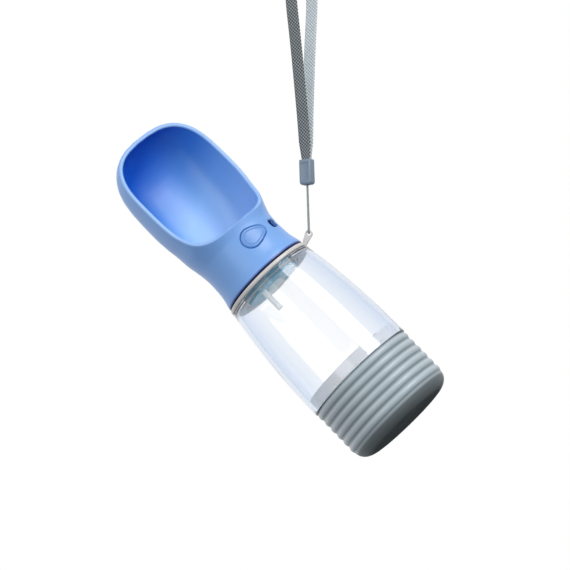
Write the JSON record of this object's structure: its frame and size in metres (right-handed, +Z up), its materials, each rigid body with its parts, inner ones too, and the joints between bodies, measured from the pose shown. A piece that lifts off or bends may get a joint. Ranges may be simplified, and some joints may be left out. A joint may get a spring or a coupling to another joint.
{
  "type": "dog travel water bottle",
  "caption": "Clear travel bottle for dogs with a scoop-shaped drinking bowl and push valve on top, a ribbed screw-on food cup below and a wrist strap.",
  "frame": {"origin": "centre of the flat base of the food cup, on the surface that the bottle stands on", "axes": "+Z up the bottle's axis, -Y the way the scoop opens and the button faces, +X towards the lock and the strap's ear"},
  "size_m": [0.1914, 0.111, 0.2702],
  "materials": {
    "cup": "satin moulded plastic",
    "gasket": "milky silicone",
    "clear": "clear thick plastic",
    "ring": "satin moulded plastic",
    "shell": "satin moulded plastic",
    "valve": "moulded plastic",
    "tube": "translucent plastic",
    "steel": "drawn stainless wire",
    "cord": "thin braided cord",
    "clamp": "satin moulded plastic",
    "webbing": "woven webbing"
  },
  "bodies": {
    "cup": {"food_cup": "cup"},
    "cup_seal": {"cup_gasket": "gasket"},
    "bottle": {"bottle": "clear", "bottle_floor": "clear"},
    "strap_ring": {"collar_ring": "ring"},
    "strap": {"wrist_cord": "cord", "cord_clamp": "clamp", "wrist_webbing": "webbing"},
    "neck_seal": {"neck_gasket": "gasket"},
    "head": {"bowl_shell": "shell", "valve_body": "valve", "valve_cover": "valve", "vent_tube": "tube", "vent_valve": "gasket", "outlet_tube": "gasket", "button_spring": "steel", "valve_spring": "steel"},
    "button": {"push_button": "shell"},
    "valve": {"valve_rod": "valve", "spring_clip": "steel", "valve_plug": "gasket"},
    "lock": {"lock_slider": "shell"}
  },
  "joints": [
    {"name": "bottle_rise", "type": "slide", "parent": "cup", "child": "cup_seal", "axis": [0, 0, 1], "range_m": [0, 0.0045]},
    {"name": "bottle_turn", "type": "hinge", "parent": "cup_seal", "child": "bottle", "pos_m": [0, 0, 0.0413], "axis": [0, 0, 1], "range_deg": [0, 540]},
    {"name": "ring_spin", "type": "hinge", "parent": "bottle", "child": "strap_ring", "pos_m": [0, 0, 0.1236], "axis": [0, 0, 1], "continuous": true},
    {"name": "strap_swing", "type": "hinge", "parent": "strap_ring", "child": "strap", "pos_m": [0.03444, -0.01533, 0.1268], "axis": [0.4067, 0.9135, 0], "range_deg": [-18, 80]},
    {"name": "head_rise", "type": "slide", "parent": "bottle", "child": "neck_seal", "axis": [0, 0, 1], "range_m": [0, 0.0045]},
    {"name": "head_turn", "type": "hinge", "parent": "neck_seal", "child": "head", "pos_m": [0, 0, 0.1361], "axis": [0, 0, 1], "range_deg": [0, 540]},
    {"name": "button_press", "type": "slide", "parent": "head", "child": "button", "axis": [0, 1, 0], "range_m": [0, 0.0025], "stiffness_N_per_m": 900, "springref_m": -0.002, "deforming": ["button_spring"]},
    {"name": "valve_open", "type": "slide", "parent": "head", "child": "valve", "axis": [0, 0, -1], "range_m": [0, 0.0025], "deforming": ["valve_spring"]},
    {"name": "lock_slide", "type": "slide", "parent": "head", "child": "lock", "axis": [0.7314, 0.682, 0], "range_m": [-0.004, 0]}
  ],
  "couplings": [
    {"joint": "bottle_rise", "follows": "bottle_turn", "m_per_rad": 0.00047746},
    {"joint": "head_rise", "follows": "head_turn", "m_per_rad": 0.00047746},
    {"joint": "valve_open", "follows": "button_press", "ratio": 1}
  ]
}
